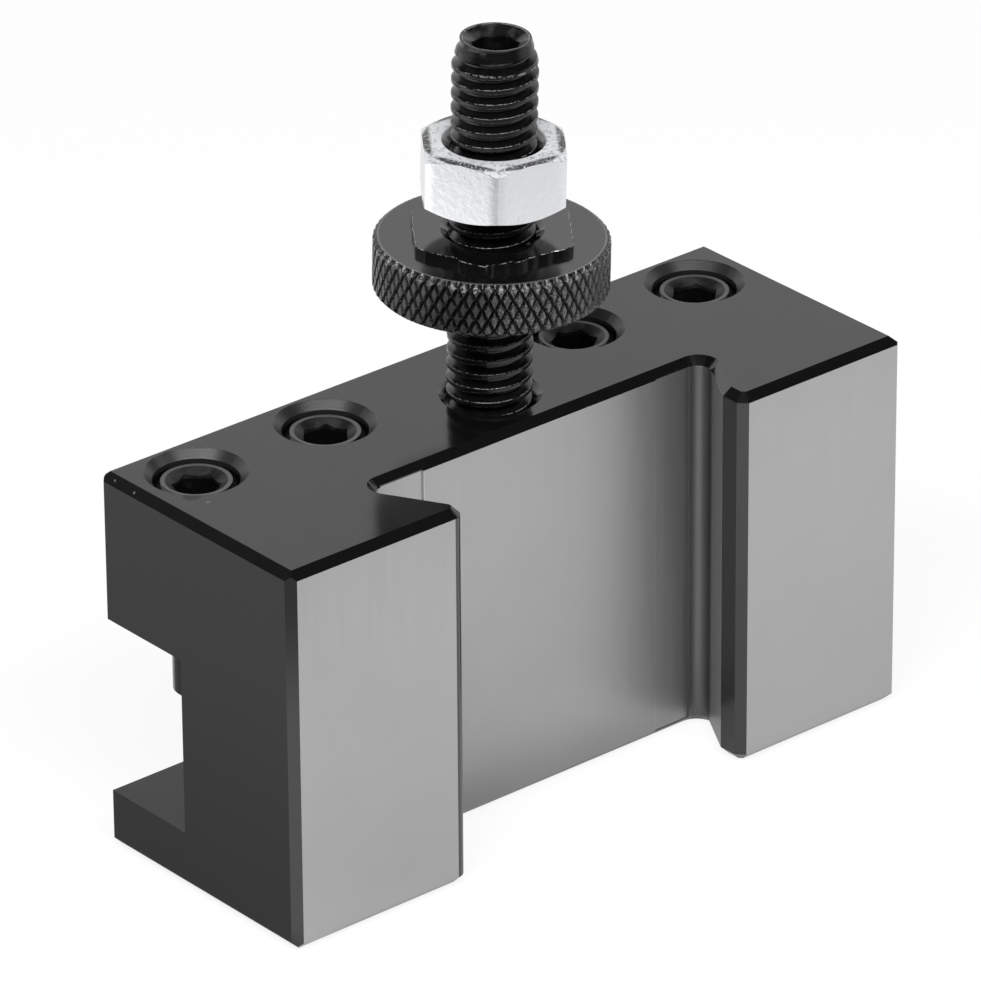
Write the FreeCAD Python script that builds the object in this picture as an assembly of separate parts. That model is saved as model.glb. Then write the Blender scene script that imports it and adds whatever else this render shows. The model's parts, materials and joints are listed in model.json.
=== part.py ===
import FreeCAD, Part
import math
import os

# Quick change tool holder for the dovetail of a small lathe's tool post.
# The block stands on its base, +Z up. Its dovetail opens to -Y, and its tool
# slot runs along X and opens to +Y and at both ends. The origin is the middle
# of the base. Sizes are millimetres and degrees.

# Holder block: its height is the ledge, the slot and the jaw together
BLOCK_LENGTH = 72.8
BLOCK_DEPTH = 26.7
LEDGE_THICKNESS = 5.75
TOOL_SLOT_HEIGHT = 17.65
JAW_THICKNESS = 14.7
TOOL_SLOT_DEPTH = 10.85
TOOL_SLOT_CORNER_RADIUS = 0.4
EDGE_CHAMFER = 0.8
RIGHT_CORNER_CHAMFER = 0.4
BACK_EDGE_BREAK = 0.3

# Dovetail, measured at the floor and back from the two front lands
DOVETAIL_ANGLE = 60.0
DOVETAIL_DEPTH = 9.1
DOVETAIL_FLOOR_WIDTH = 41.0
DOVETAIL_CORNER_RADIUS = 1.15
RIGHT_LIP_WALL_DEPTH = 2.7
RIGHT_LIP_CHAMFER = 0.8
LEFT_LIP_RADIUS = 1.3
GROUND_PAD_LEFT_REACH = 13.5
GROUND_PAD_RIGHT_REACH = 14.3
GROUND_PAD_STEP = 0.15

# Threads are plain cylinders at their major diameter, 5/16 inch
THREAD_DIAMETER = 7.9
THREAD_CLEARANCE = 0.05
THREAD_ENTRY_CHAMFER = 0.75
TAP_DRILL_DIAMETER = 6.6
DRILL_POINT_ANGLE = 118.0

# Clamping screws: socket set screws with a dog point
SCREW_END_INSET = 6.55
SCREW_PAIR_SPACING = 14.95
SCREW_LENGTH = 21.2
SCREW_RECESS = 0.85
SCREW_POINT_DIAMETER = 5.2
SCREW_POINT_LENGTH = 4.0

# Hexagon socket and end chamfer that all set screws share
SOCKET_ACROSS_FLATS = 3.97
SOCKET_DEPTH = 4.0
END_FACE_DIAMETER = 6.2

# Height stud: one long socket set screw, bottomed in a blind hole. It leans a
# little, and its hole, the wheel and the nut lean with it.
STUD_SETBACK = 16.2
STUD_LENGTH = 44.45
STUD_SEAT_DEPTH = 9.0
STUD_FOOT_CHAMFER = 0.3
STUD_LEAN = 1.35
STUD_LEAN_TOWARDS = -40.0

# Knurled height wheel with its low hexagonal hub
WHEEL_LIFT = 10.8
WHEEL_DIAMETER = 21.6
WHEEL_THICKNESS = 5.1
WHEEL_EDGE_CHAMFER = 0.35
HUB_ACROSS_FLATS = 14.3
HUB_CORNER_DIAMETER = 16.0
HUB_HEIGHT = 0.7
HUB_TURN = -10.0
KNURL_COUNT = 36
KNURL_ANGLE = 30.0
KNURL_DEPTH = 0.4
KNURL_TOOL_OVERSHOOT = 0.2

# Hexagon lock nut, backed off from the hub
NUT_GAP = 3.1
NUT_ACROSS_FLATS = 12.8
NUT_THICKNESS = 5.7
NUT_CHAMFER_ANGLE = 30.0
NUT_TURN = -7.0

BLOCK_HEIGHT = LEDGE_THICKNESS + TOOL_SLOT_HEIGHT + JAW_THICKNESS
FRONT_Y = -BLOCK_DEPTH / 2
BACK_Y = BLOCK_DEPTH / 2
JAW_UNDERSIDE_Z = LEDGE_THICKNESS + TOOL_SLOT_HEIGHT
SLOT_WALL_Y = BACK_Y - TOOL_SLOT_DEPTH
SCREW_ROW_Y = BACK_Y - TOOL_SLOT_DEPTH / 2
STUD_Y = FRONT_Y + STUD_SETBACK
STUD_SEAT_Z = BLOCK_HEIGHT - STUD_SEAT_DEPTH
WHEEL_Z = BLOCK_HEIGHT + WHEEL_LIFT
NUT_Z = WHEEL_Z + WHEEL_THICKNESS + HUB_HEIGHT + NUT_GAP
FLANK_LEAN = math.tan(math.radians(90.0 - DOVETAIL_ANGLE))
TINY = 1e-4
PAST = 1.0


def point(x, y, z=0.0):
    return FreeCAD.Vector(x, y, z)


def block_of(x_low, x_high, y_low, y_high, z_low, z_high):
    size = (x_high - x_low, y_high - y_low, z_high - z_low)
    return Part.makeBox(*size, point(x_low, y_low, z_low))


def prism(outline, z_low, z_high):
    corners = [point(x, y, z_low) for x, y in outline]
    face = Part.Face(Part.makePolygon(corners + corners[:1]))
    return face.extrude(point(0, 0, z_high - z_low))


def turned(profile, x=0.0, y=0.0):
    """Turn an outline of (radius, height) points about the vertical line through x, y."""
    corners = [point(x + radius, y, height) for radius, height in profile]
    face = Part.Face(Part.makePolygon(corners + corners[:1]))
    return face.revolve(point(x, y, 0), point(0, 0, 1), 360)


def hexagon(across_flats, turn, x, y, z_low, z_high):
    corner_radius = across_flats / math.sqrt(3)
    angles = [math.radians(turn + 60.0 * side) for side in range(6)]
    outline = [(x + corner_radius * math.cos(a), y + corner_radius * math.sin(a)) for a in angles]
    return prism(outline, z_low, z_high)


def edges_where(shape, rule):
    return [edge for edge in shape.Edges if rule(edge.BoundBox)]


def upright_edge_at(shape, x, y):
    def rule(box):
        here = abs(box.XMin - x) < TINY and abs(box.YMin - y) < TINY
        return here and box.ZLength > TINY and box.XLength < TINY and box.YLength < TINY
    return edges_where(shape, rule)


def flank_x(depth):
    """Half width of the dovetail at a depth behind the lands, before its corners are worked."""
    return DOVETAIL_FLOOR_WIDTH / 2 - (DOVETAIL_DEPTH - depth) * FLANK_LEAN


def dovetail_space():
    floor_y = FRONT_Y + DOVETAIL_DEPTH
    floor_x = flank_x(DOVETAIL_DEPTH)
    wall_x = flank_x(RIGHT_LIP_WALL_DEPTH)
    outline = [
        (-flank_x(-PAST), FRONT_Y - PAST),
        (wall_x, FRONT_Y - PAST),
        (wall_x, FRONT_Y + RIGHT_LIP_WALL_DEPTH),
        (floor_x, floor_y),
        (-floor_x, floor_y),
    ]
    space = prism(outline, 0, BLOCK_HEIGHT)
    corners = upright_edge_at(space, floor_x, floor_y) + upright_edge_at(space, -floor_x, floor_y)
    return space.makeFillet(DOVETAIL_CORNER_RADIUS, corners)


def work_lips(block):
    """Round the left lip of the dovetail and bevel the right one."""
    block = block.makeFillet(LEFT_LIP_RADIUS, upright_edge_at(block, -flank_x(0), FRONT_Y))
    right_lip = upright_edge_at(block, flank_x(RIGHT_LIP_WALL_DEPTH), FRONT_Y)
    return block.makeChamfer(RIGHT_LIP_CHAMFER, right_lip)


def bevel_edges(block):
    """Bevel the outline of the top and the base, then the corners, with a light break at the back."""
    half = BLOCK_LENGTH / 2

    def on_rim(box):
        level = box.ZLength < TINY
        return level and (abs(box.ZMin) < TINY or abs(box.ZMax - BLOCK_HEIGHT) < TINY)

    def at_back(box):
        return box.YMin > BACK_Y - TINY

    block = block.makeChamfer(EDGE_CHAMFER, edges_where(block, lambda b: on_rim(b) and not at_back(b)))
    block = block.makeChamfer(EDGE_CHAMFER, upright_edge_at(block, -half, FRONT_Y))
    block = block.makeChamfer(RIGHT_CORNER_CHAMFER, upright_edge_at(block, half, FRONT_Y))
    back = edges_where(block, lambda b: on_rim(b) and at_back(b))
    back += upright_edge_at(block, -half, BACK_Y) + upright_edge_at(block, half, BACK_Y)
    return block.makeChamfer(BACK_EDGE_BREAK, back)


def pad_reliefs():
    """Shallow milled strips that leave the ground pad standing proud of the dovetail floor."""
    floor_y = FRONT_Y + DOVETAIL_DEPTH
    corner_reach = DOVETAIL_CORNER_RADIUS / math.tan(math.radians(DOVETAIL_ANGLE / 2))
    end_x = DOVETAIL_FLOOR_WIDTH / 2 - corner_reach
    strips = [(-end_x, -GROUND_PAD_LEFT_REACH), (GROUND_PAD_RIGHT_REACH, end_x)]
    depth = (floor_y - PAST, floor_y + GROUND_PAD_STEP)
    return [block_of(*strip, *depth, -PAST, BLOCK_HEIGHT + PAST) for strip in strips]


def tool_slot():
    half = BLOCK_LENGTH / 2 + PAST
    slot = block_of(-half, half, SLOT_WALL_Y, BACK_Y + PAST, LEDGE_THICKNESS, JAW_UNDERSIDE_Z)

    def inner_corner(box):
        return box.XLength > BLOCK_LENGTH and box.YMax < SLOT_WALL_Y + TINY
    return slot.makeFillet(TOOL_SLOT_CORNER_RADIUS, edges_where(slot, inner_corner))


def break_slot_mouth(block):
    def mouth(box):
        long_edge = box.XLength > BLOCK_LENGTH / 2 and box.YLength < TINY and box.ZLength < TINY
        at_jaw = abs(box.ZMin - JAW_UNDERSIDE_Z) < TINY
        at_ledge = abs(box.ZMin - LEDGE_THICKNESS) < TINY
        return long_edge and abs(box.YMin - BACK_Y) < TINY and (at_jaw or at_ledge)
    return block.makeChamfer(BACK_EDGE_BREAK, edges_where(block, mouth))


def thread_radius_in_hole():
    return THREAD_DIAMETER / 2 + THREAD_CLEARANCE


def screw_hole(x):
    radius = thread_radius_in_hole()
    entry = radius + THREAD_ENTRY_CHAMFER
    profile = [
        (0, JAW_UNDERSIDE_Z - PAST),
        (radius, JAW_UNDERSIDE_Z - PAST),
        (radius, BLOCK_HEIGHT - THREAD_ENTRY_CHAMFER),
        (entry, BLOCK_HEIGHT),
        (entry, BLOCK_HEIGHT + PAST),
        (0, BLOCK_HEIGHT + PAST),
    ]
    return turned(profile, x, SCREW_ROW_Y)


def leaning(shape):
    """Lean a shape with the stud, about the middle of the stud's seat."""
    towards = math.radians(STUD_LEAN_TOWARDS)
    hinge = point(-math.sin(towards), math.cos(towards))
    return shape.rotated(point(0, STUD_Y, STUD_SEAT_Z), hinge, STUD_LEAN)


def stud_hole():
    """A tapped blind hole whose drill point lies below the stud's seat."""
    radius = thread_radius_in_hole()
    entry = radius + THREAD_ENTRY_CHAMFER
    drill = TAP_DRILL_DIAMETER / 2
    point_z = STUD_SEAT_Z - drill / math.tan(math.radians(DRILL_POINT_ANGLE / 2))
    profile = [
        (0, point_z),
        (drill, STUD_SEAT_Z),
        (radius, STUD_SEAT_Z),
        (radius, BLOCK_HEIGHT - THREAD_ENTRY_CHAMFER),
        (entry + PAST, BLOCK_HEIGHT + PAST),
        (0, BLOCK_HEIGHT + PAST),
    ]
    return leaning(turned(profile, 0, STUD_Y))


def screw_places():
    outer = BLOCK_LENGTH / 2 - SCREW_END_INSET
    inner = outer - SCREW_PAIR_SPACING
    return [-outer, -inner, inner, outer]


def holder_block():
    half = BLOCK_LENGTH / 2
    block = block_of(-half, half, FRONT_Y, BACK_Y, 0, BLOCK_HEIGHT).cut(dovetail_space())
    block = bevel_edges(work_lips(block))
    block = block.cut(pad_reliefs() + [tool_slot()])
    block = break_slot_mouth(block)
    return block.cut([screw_hole(x) for x in screw_places()] + [stud_hole()])


def hex_socket(x, y, top_z):
    return hexagon(SOCKET_ACROSS_FLATS, 0, x, y, top_z - SOCKET_DEPTH, top_z + PAST)


def set_screw(x):
    radius = THREAD_DIAMETER / 2
    face = END_FACE_DIAMETER / 2
    dog = SCREW_POINT_DIAMETER / 2
    top_z = BLOCK_HEIGHT - SCREW_RECESS
    tip_z = top_z - SCREW_LENGTH
    shoulder_z = tip_z + SCREW_POINT_LENGTH
    profile = [
        (0, tip_z),
        (dog, tip_z),
        (dog, shoulder_z),
        (radius, shoulder_z + radius - dog),
        (radius, top_z - (radius - face)),
        (face, top_z),
        (0, top_z),
    ]
    return turned(profile, x, SCREW_ROW_Y).cut(hex_socket(x, SCREW_ROW_Y, top_z))


def height_stud():
    radius = THREAD_DIAMETER / 2
    face = END_FACE_DIAMETER / 2
    top_z = STUD_SEAT_Z + STUD_LENGTH
    profile = [
        (0, STUD_SEAT_Z),
        (radius - STUD_FOOT_CHAMFER, STUD_SEAT_Z),
        (radius, STUD_SEAT_Z + STUD_FOOT_CHAMFER),
        (radius, top_z - (radius - face)),
        (face, top_z),
        (0, top_z),
    ]
    return leaning(turned(profile, 0, STUD_Y).cut(hex_socket(0, STUD_Y, top_z)))


def threaded_bore(z_low, z_high):
    """A tapped hole on the stud's axis, chamfered at both ends."""
    radius = thread_radius_in_hole()
    entry = radius + THREAD_ENTRY_CHAMFER
    profile = [
        (0, z_low),
        (entry, z_low),
        (radius, z_low + THREAD_ENTRY_CHAMFER),
        (radius, z_high - THREAD_ENTRY_CHAMFER),
        (entry, z_high),
        (0, z_high),
    ]
    return turned(profile, 0, STUD_Y)


def knurl_cutters(z_low, z_high):
    """Right-angled V tools at the rim, leaning one way and then the other, each a straight prism."""
    middle_z = (z_low + z_high) / 2
    rim = WHEEL_DIAMETER / 2
    tool_height = KNURL_DEPTH + KNURL_TOOL_OVERSHOOT
    open_side = rim + KNURL_TOOL_OVERSHOOT
    reach = (z_high - z_low) / math.cos(math.radians(KNURL_ANGLE))
    tool_face = Part.makePolygon([
        point(rim - KNURL_DEPTH, 0, -reach),
        point(open_side, tool_height, -reach),
        point(open_side, -tool_height, -reach),
        point(rim - KNURL_DEPTH, 0, -reach),
    ])
    upright = Part.Face(tool_face).extrude(point(0, 0, 2 * reach))
    cutters = []
    for lean in (KNURL_ANGLE, -KNURL_ANGLE):
        tool = upright.copy()
        tool.rotate(point(rim, 0, 0), point(1, 0, 0), lean)
        for step in range(KNURL_COUNT):
            cutter = tool.copy()
            cutter.rotate(point(0, 0, 0), point(0, 0, 1), 360.0 * step / KNURL_COUNT)
            cutter.translate(point(0, STUD_Y, middle_z))
            cutters.append(cutter)
    return cutters


def knurl_blank(z_low, z_high):
    """The disc before its grooves are cut, with a flat for each of them and a bevel on both rims."""
    rim = WHEEL_DIAMETER / 2
    angles = [2 * math.pi * step / KNURL_COUNT for step in range(KNURL_COUNT)]
    outline = [(rim * math.cos(a), STUD_Y + rim * math.sin(a)) for a in angles]
    blank = prism(outline, z_low, z_high)
    return blank.makeChamfer(WHEEL_EDGE_CHAMFER, edges_where(blank, lambda box: box.ZLength < TINY))


def height_wheel():
    top_z = WHEEL_Z + WHEEL_THICKNESS
    hub_z = top_z + HUB_HEIGHT
    disc = knurl_blank(WHEEL_Z, top_z).cut(knurl_cutters(WHEEL_Z, top_z))
    hub = hexagon(HUB_ACROSS_FLATS, HUB_TURN, 0, STUD_Y, top_z, hub_z)
    corner = HUB_CORNER_DIAMETER / 2
    hub = hub.common(turned([(0, top_z), (corner, top_z), (corner, hub_z), (0, hub_z)], 0, STUD_Y))
    return leaning(disc.fuse(hub).cut(threaded_bore(WHEEL_Z, hub_z)).removeSplitter())


def lock_nut():
    top_z = NUT_Z + NUT_THICKNESS
    face = NUT_ACROSS_FLATS / 2
    beyond = NUT_ACROSS_FLATS / math.sqrt(3) + PAST
    drop = (beyond - face) * math.tan(math.radians(NUT_CHAMFER_ANGLE))
    profile = [
        (0, NUT_Z),
        (face, NUT_Z),
        (beyond, NUT_Z + drop),
        (beyond, top_z - drop),
        (face, top_z),
        (0, top_z),
    ]
    blank = hexagon(NUT_ACROSS_FLATS, NUT_TURN, 0, STUD_Y, NUT_Z, top_z)
    return leaning(blank.common(turned(profile, 0, STUD_Y)).cut(threaded_bore(NUT_Z, top_z)))


def main():
    pieces = {"holder_block": holder_block()}
    for number, x in enumerate(screw_places(), start=1):
        pieces[f"set_screw_{number}"] = set_screw(x)
    pieces["height_stud"] = height_stud()
    pieces["height_wheel"] = height_wheel()
    pieces["lock_nut"] = lock_nut()

    os.makedirs("parts", exist_ok=True)
    for name, shape in pieces.items():
        shape.exportStep(f"parts/{name}.step")
        print(name, "solids", len(shape.Solids), "valid", shape.isValid(), "volume", round(shape.Volume, 1))


main()
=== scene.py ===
import json
import math

import bmesh
import bpy
from mathutils import Matrix, Vector, noise

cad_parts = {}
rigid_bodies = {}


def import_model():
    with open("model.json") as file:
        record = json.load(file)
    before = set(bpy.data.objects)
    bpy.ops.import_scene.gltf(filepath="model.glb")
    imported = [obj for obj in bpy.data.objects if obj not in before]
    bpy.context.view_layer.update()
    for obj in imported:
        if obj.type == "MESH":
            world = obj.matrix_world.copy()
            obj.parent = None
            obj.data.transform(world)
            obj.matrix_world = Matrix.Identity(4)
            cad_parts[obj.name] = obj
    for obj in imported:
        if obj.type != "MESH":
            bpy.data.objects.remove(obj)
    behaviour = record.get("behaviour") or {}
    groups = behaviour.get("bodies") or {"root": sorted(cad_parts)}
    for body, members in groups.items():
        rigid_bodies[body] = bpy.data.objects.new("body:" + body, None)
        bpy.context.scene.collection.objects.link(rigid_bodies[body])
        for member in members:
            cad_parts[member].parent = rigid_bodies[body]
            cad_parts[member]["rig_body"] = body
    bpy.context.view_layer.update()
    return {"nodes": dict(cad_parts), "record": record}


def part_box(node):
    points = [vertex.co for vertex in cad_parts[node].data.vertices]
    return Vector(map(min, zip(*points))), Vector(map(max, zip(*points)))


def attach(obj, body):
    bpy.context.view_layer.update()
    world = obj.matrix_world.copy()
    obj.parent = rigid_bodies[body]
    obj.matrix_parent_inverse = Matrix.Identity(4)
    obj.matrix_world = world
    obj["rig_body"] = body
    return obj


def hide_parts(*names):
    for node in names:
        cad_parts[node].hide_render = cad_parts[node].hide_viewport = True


# Quick change tool holder: blackened steel block with ground faces, four
# clamping screws, and a height stud with its knurled wheel and zinc nut.
# Pieces are shaped in millimetres round their own axis, then put in place.

MM = 0.001

# The photograph's camera
CAMERA_AZIMUTH = 40.25
CAMERA_ELEVATION = 27.0
CAMERA_ROLL = -0.431
CAMERA_DISTANCE = 773.9
CAMERA_TARGET = (-2.053, 0.0, 29.88)
SENSOR_WIDTH = 36.0
LENS = 311.35
NEAREST_SEEN = 0.01
FARTHEST_SEEN = 20.0

# Block and tapped holes, from the part's own sizes
EDGE_CHAMFER = 0.8
DOVETAIL_DEPTH = 9.1
DOVETAIL_FLOOR_HALF = 20.5
LIP_WALL_DEPTH = 2.7
PAD_RIGHT_REACH = 14.3
PAD_LEFT_REACH = 13.5
PAD_STEP = 0.15
HOLE_MOUTH_RADIUS = 4.75
HOLE_RADIUS = 4.0
HOLE_MOUTH_DEPTH = 0.75

# Threads, 5/16-18. Their crests are rounded to catch the light, with a narrow flat
# held beside each rounding, and noise wears them down by a hair
INCH = 25.4
THREADS_PER_INCH = 18
PITCH = INCH / THREADS_PER_INCH
CREST_RADIUS = 3.95
ROOT_RADIUS = 3.2
CREST_HALF = 0.19
CREST_ROUND = 0.12
CREST_HOLD = 0.03
FLANK_ANGLE = 60.0
ROUND_STEPS = 3
CREST_WEAR = 0.012
WEAR_SCALE = 1.7
SPARE_TURNS = 1
SCREW_COLUMNS = 72
STUD_COLUMNS = 96

# How far above the stud's foot its first crest begins
STUD_START = 0.3

# Screw ends and hexagon sockets
SCREW_END_RADIUS = 3.25
SCREW_END_SLOPE = 1.0
SCREW_MOUTH_RADIUS = 2.86
STUD_END_RADIUS = 3.23
STUD_END_SLOPE = 0.3
STUD_MOUTH_RADIUS = 3.0
MOUTH_SLOPE = 0.7
SOCKET_ACROSS_FLATS = 3.97
SOCKET_DEPTH = 4.0
SOCKET_TURNS = {"set_screw_1": 20.0, "set_screw_2": 50.0, "set_screw_3": 32.0, "set_screw_4": 44.0}
STUD_SOCKET_TURN = 20.0

# Dog points of the clamping screws
POINT_RADIUS = 2.6
POINT_LENGTH = 4.0
POINT_CHAMFER = 0.3

# The stud's seat in the block, and heights above it along the stud, whose end is
# faced a hair short so that its leaning rim stays inside the solid's height
STUD_SEAT = (0.0, 2.85, 29.1)
STUD_LENGTH = 44.445
WHEEL_RISE = 19.8
NUT_RISE = 28.7

# Height wheel
WHEEL_RADIUS = 10.8
WHEEL_THICKNESS = 5.1
WHEEL_CHAMFER = 0.35
WHEEL_EDGE_BREAK = 0.12
KNURL_COUNT = 60
KNURL_ANGLE = 30.0
KNURL_DEPTH = 0.38
KNURL_FLAT = 0.2
HUB_HEIGHT = 0.7
HUB_ACROSS_FLATS = 14.3
HUB_CORNER_RADIUS = 8.0
HUB_EDGE_BREAK = 0.05
HUB_TURN = -7.0

# The hub's uneven edge: small waves all round, and where it was pushed out or broken
# away, as azimuth, half width and push, each with a shoulder of some degrees
HUB_WAVE = 0.12
HUB_WAVE_SCALE = 9.0
BURR_SHOULDER = 2.0
HUB_BURRS = ((-144.0, 11.0, 0.5), (-122.0, 9.0, -0.4), (-92.0, 14.0, -0.15), (-172.0, 10.0, 0.12))

# Lock nut
NUT_ACROSS_FLATS = 12.8
NUT_THICKNESS = 5.7
NUT_CORNER_ROUND = 0.4
NUT_FACE_RADIUS = NUT_ACROSS_FLATS / 2 - NUT_CORNER_ROUND / 4
NUT_CHAMFER_ANGLE = 30.0
NUT_TURN = -7.0
NUT_COLUMNS = 144

# Edges that bend more than this stay sharp, and corners nearer than this are one
SHARP_ANGLE = 32.0
MERGE_DISTANCE = 2e-4

# The turn from one side of a hexagon to the next
SIDE = math.radians(60.0)


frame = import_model()


# Places

def stud_axis():
    """The stud's direction, which the wheel travels along."""
    for joint in frame["record"]["behaviour"]["joints"]:
        if joint["name"] == "wheel_travel":
            return Vector(joint["axis"])


STUD_TILT = Vector((0, 0, 1)).rotation_difference(stud_axis())


def on_stud(rise):
    """From a shape's own millimetres to metres on the leaning stud, a rise above its seat."""
    seat = Matrix.Translation(Vector(STUD_SEAT) * MM)
    lift = Matrix.Translation((0, 0, rise * MM))
    return seat @ STUD_TILT.to_matrix().to_4x4() @ lift @ Matrix.Scale(MM, 4)


def foot_of(node):
    """The point on an upright node's axis at its lowest level, in metres."""
    low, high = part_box(node)
    return Vector(((low.x + high.x) / 2, (low.y + high.y) / 2, low.z))


# Mesh work

def on_axis(angle, radius, height):
    """The point at an angle round the upright axis."""
    return Vector((radius * math.cos(angle), radius * math.sin(angle), height))


def value_at(rule, angle):
    """A radius or height that is either one number or a rule for each angle."""
    return rule(angle) if callable(rule) else rule


def side_angle(angle, turn):
    """How far an angle is from the middle of the hexagon's side that it meets."""
    return (angle - math.radians(turn)) % SIDE - SIDE / 2


def hexagon(across_flats, turn, corner_radius=math.inf):
    """The radius of a hexagon at an angle, with its corners turned down to a radius."""
    def rule(angle):
        return min(across_flats / 2 / math.cos(side_angle(angle, turn)), corner_radius)
    return rule


def rounded_hexagon(across_flats, corner_round, turn):
    """The radius of a hexagon at an angle, with each corner an arc of a small radius."""
    sharp = hexagon(across_flats, turn)
    centre = across_flats / math.sqrt(3) - corner_round / math.sin(SIDE)

    def rule(angle):
        from_corner = SIDE / 2 - abs(side_angle(angle, turn))
        across = centre * math.sin(from_corner)
        if across >= corner_round:
            return sharp(angle)
        arc = centre * math.cos(from_corner) + math.sqrt(corner_round ** 2 - across ** 2)
        return min(sharp(angle), arc)
    return rule


def next_ring(work, ring, radius, height):
    """Extrude a closed ring of edges, and put the new ring at a radius and a height."""
    made = bmesh.ops.extrude_edge_only(work, edges=ring)["geom"]
    corners = {item for item in made if isinstance(item, bmesh.types.BMVert)}
    for corner in corners:
        angle = math.atan2(corner.co.y, corner.co.x)
        corner.co = on_axis(angle, value_at(radius, angle), value_at(height, angle))
    edges = [item for item in made if isinstance(item, bmesh.types.BMEdge)]
    return [edge for edge in edges if edge.verts[0] in corners and edge.verts[1] in corners]


def first_ring(work, columns, turn, radius, height):
    """A closed ring of edges to extrude a shape from."""
    corners = bmesh.ops.create_circle(work, segments=columns, radius=1.0)["verts"]
    for number, corner in enumerate(corners):
        angle = math.radians(turn) + 2 * math.pi * number / columns
        corner.co = on_axis(angle, value_at(radius, angle), value_at(height, angle))
    return list({edge for corner in corners for edge in corner.link_edges})


def edge_ring(work, height):
    """The open edges of a shape at one height."""
    def here(edge):
        return edge.is_boundary and all(abs(v.co.z - height) < MERGE_DISTANCE for v in edge.verts)
    return [edge for edge in work.edges if here(edge)]


def cut_level(work, height, keep):
    """Cut a shape level, and drop what is above or below where keep says so."""
    everything = work.verts[:] + work.edges[:] + work.faces[:]
    bmesh.ops.bisect_plane(
        work, geom=everything, dist=MERGE_DISTANCE, plane_co=(0, 0, height), plane_no=(0, 0, 1),
        clear_outer=keep == "below", clear_inner=keep == "above")


def merge(work):
    """Make one corner of those that lie in the same place."""
    bmesh.ops.remove_doubles(work, verts=work.verts[:], dist=MERGE_DISTANCE)


def hold_within(work, limit):
    """Draw every corner in to the radius that the limit allows at its height."""
    for corner in work.verts:
        radius = math.hypot(corner.co.x, corner.co.y)
        most = limit(corner.co.z)
        if radius > most:
            corner.co.x *= most / radius
            corner.co.y *= most / radius


def thread_profile():
    """Height and radius of one turn of the thread, from crest to crest."""
    round_middle = CREST_RADIUS - CREST_ROUND
    flat_half = CREST_HALF - CREST_ROUND / 2
    half = [(0.0, CREST_RADIUS), (flat_half - CREST_HOLD, CREST_RADIUS)]
    for step in range(ROUND_STEPS + 1):
        angle = math.radians(FLANK_ANGLE * step / ROUND_STEPS)
        height = flat_half + CREST_ROUND * math.sin(angle)
        half.append((height, round_middle + CREST_ROUND * math.cos(angle)))
    flank_height, flank_radius = half[-1]
    fall = (flank_radius - ROOT_RADIUS) / math.tan(math.radians(FLANK_ANGLE))
    half.append((flank_height + fall, ROOT_RADIUS))
    return half + [(PITCH - height, radius) for height, radius in reversed(half[1:])]


def thread(work, low, high, columns, seed, start=0.0):
    """An outside thread's surface with slightly worn crests, open and cut level at both ends.

    The spin lifts its outline by one turn, so the outline starts a turn lower."""
    first = math.floor(low / PITCH) - SPARE_TURNS - 1
    last = math.ceil(high / PITCH) + SPARE_TURNS
    corners = []
    for turn in range(first, last + 1):
        for height, radius in thread_profile():
            corners.append(work.verts.new((radius, 0, start + turn * PITCH + height)))
    for lower, upper in zip(corners, corners[1:]):
        work.edges.new((lower, upper))
    bmesh.ops.spin(
        work, geom=work.verts[:] + work.edges[:], cent=(0, 0, 0), axis=(0, 0, 1),
        dvec=(0, 0, PITCH / columns), angle=2 * math.pi, steps=columns)
    merge(work)
    for corner in work.verts:
        radius = math.hypot(corner.co.x, corner.co.y)
        if radius > CREST_RADIUS - CREST_ROUND:
            worn = abs(noise.noise(corner.co * WEAR_SCALE + Vector((seed, 0, 0)))) * CREST_WEAR
            corner.co.x *= 1 - worn / radius
            corner.co.y *= 1 - worn / radius
    cut_level(work, low, "above")
    cut_level(work, high, "below")


def sink_socket(work, ring, top, mouth, turn):
    """Close a screw's top with its flat rim, its countersunk mouth and the hexagon."""
    wall = hexagon(SOCKET_ACROSS_FLATS, turn)

    def mouth_floor(angle):
        return top - (mouth - wall(angle)) * MOUTH_SLOPE
    ring = next_ring(work, ring, mouth, top)
    ring = next_ring(work, ring, wall, mouth_floor)
    ring = next_ring(work, ring, wall, top - SOCKET_DEPTH)
    next_ring(work, ring, 0.0, top - SOCKET_DEPTH)


def mesh_of(work, name):
    """The finished mesh of a shape, which is then done with."""
    mesh = bpy.data.meshes.new(name)
    work.to_mesh(mesh)
    work.free()
    return mesh


def placed(name, data):
    """A new object in the scene, at the origin."""
    made = bpy.data.objects.new(name, data)
    bpy.context.scene.collection.objects.link(made)
    return made


# Pieces

def finished(work, name, node, matrix, material):
    """Put a shape in its place in the row's frame, and let it stand for its node."""
    merge(work)
    bmesh.ops.recalc_face_normals(work, faces=work.faces[:])
    for face in work.faces:
        face.smooth = True
    for edge in work.edges:
        if len(edge.link_faces) == 2:
            edge.smooth = edge.calc_face_angle() < math.radians(SHARP_ANGLE)
    bmesh.ops.transform(work, matrix=matrix, verts=work.verts[:])
    mesh = mesh_of(work, name)
    mesh.materials.append(material)
    piece = placed(name, mesh)
    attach(piece, frame["nodes"][node]["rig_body"])
    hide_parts(node)


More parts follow.
